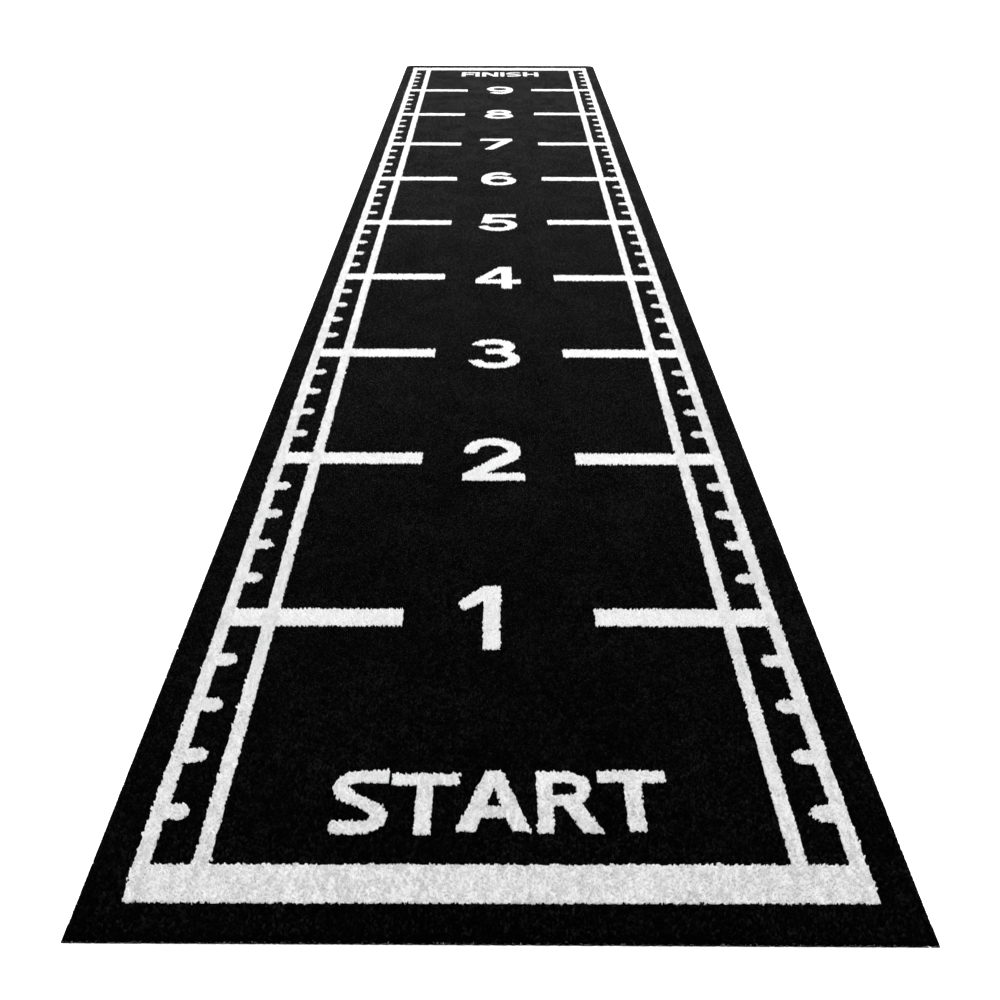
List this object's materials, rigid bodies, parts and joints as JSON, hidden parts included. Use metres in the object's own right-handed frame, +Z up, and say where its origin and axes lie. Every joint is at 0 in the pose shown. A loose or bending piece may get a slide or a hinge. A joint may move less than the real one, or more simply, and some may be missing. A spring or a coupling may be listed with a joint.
{
  "type": "practice putting mat",
  "caption": "Flat cut-pile practice putting mat: black pile with a white ladder frame of lines, foot marks, numerals and end bands, on a woven cloth, latex and rubber backing.",
  "frame": {"origin": "middle of the mat's footprint, on the underside that lies on the floor", "axes": "+Y along the mat from the START band to the FINISH band; +X to the right for someone standing at START and reading the numerals; +Z up out of the pile"},
  "size_m": [0.6096, 3.1784, 0.011],
  "materials": {
    "yarn_black": "matte black cut pile of heat-set yarn, tips leaning towards the START end",
    "yarn_white": "matte off-white cut pile of the same yarn",
    "primary_cloth": "plain-woven flat-tape cloth, dark",
    "latex": "dull cured latex coat",
    "rubber": "matte black foam rubber with a fine moulded grip pattern"
  },
  "bodies": {
    "root": {"finish_letter_1_F": "yarn_white", "finish_letter_2_I": "yarn_white", "finish_letter_3_N": "yarn_white", "finish_letter_4_I": "yarn_white", "finish_letter_5_S": "yarn_white", "finish_letter_6_H": "yarn_white", "latex_coat": "latex", "line_finish_band": "yarn_white", "line_inner_rail_left": "yarn_white", "line_inner_rail_right": "yarn_white", "line_outer_rail_left": "yarn_white", "line_outer_rail_right": "yarn_white", "line_start_band": "yarn_white", "numeral_1": "yarn_white", "numeral_2": "yarn_white", "numeral_3": "yarn_white", "numeral_4": "yarn_white", "numeral_5": "yarn_white", "numeral_6": "yarn_white", "numeral_7": "yarn_white", "numeral_8": "yarn_white", "numeral_9": "yarn_white", "pile_border_black": "yarn_black", "pile_channel_left_1": "yarn_black", "pile_channel_left_10": "yarn_black", "pile_channel_left_2": "yarn_black", "pile_channel_left_3": "yarn_black", "pile_channel_left_4": "yarn_black", "pile_channel_left_5": "yarn_black", "pile_channel_left_6": "yarn_black", "pile_channel_left_7": "yarn_black", "pile_channel_left_8": "yarn_black", "pile_channel_left_9": "yarn_black", "pile_channel_right_1": "yarn_black", "pile_channel_right_10": "yarn_black", "pile_channel_right_2": "yarn_black", "pile_channel_right_3": "yarn_black", "pile_channel_right_4": "yarn_black", "pile_channel_right_5": "yarn_black", "pile_channel_right_6": "yarn_black", "pile_channel_right_7": "yarn_black", "pile_channel_right_8": "yarn_black", "pile_channel_right_9": "yarn_black", "pile_counter_4": "yarn_black", "pile_counter_6": "yarn_black", "pile_counter_8_bottom": "yarn_black", "pile_counter_8_top": "yarn_black", "pile_counter_9": "yarn_black", "pile_counter_start_A": "yarn_black", "pile_counter_start_R": "yarn_black", "pile_field_black": "yarn_black", "primary_backing_cloth": "primary_cloth", "rubber_backing": "rubber", "start_letter_1_S": "yarn_white", "start_letter_2_T": "yarn_white", "start_letter_3_A": "yarn_white", "start_letter_4_R": "yarn_white", "start_letter_5_T": "yarn_white"}
  },
  "joints": []
}
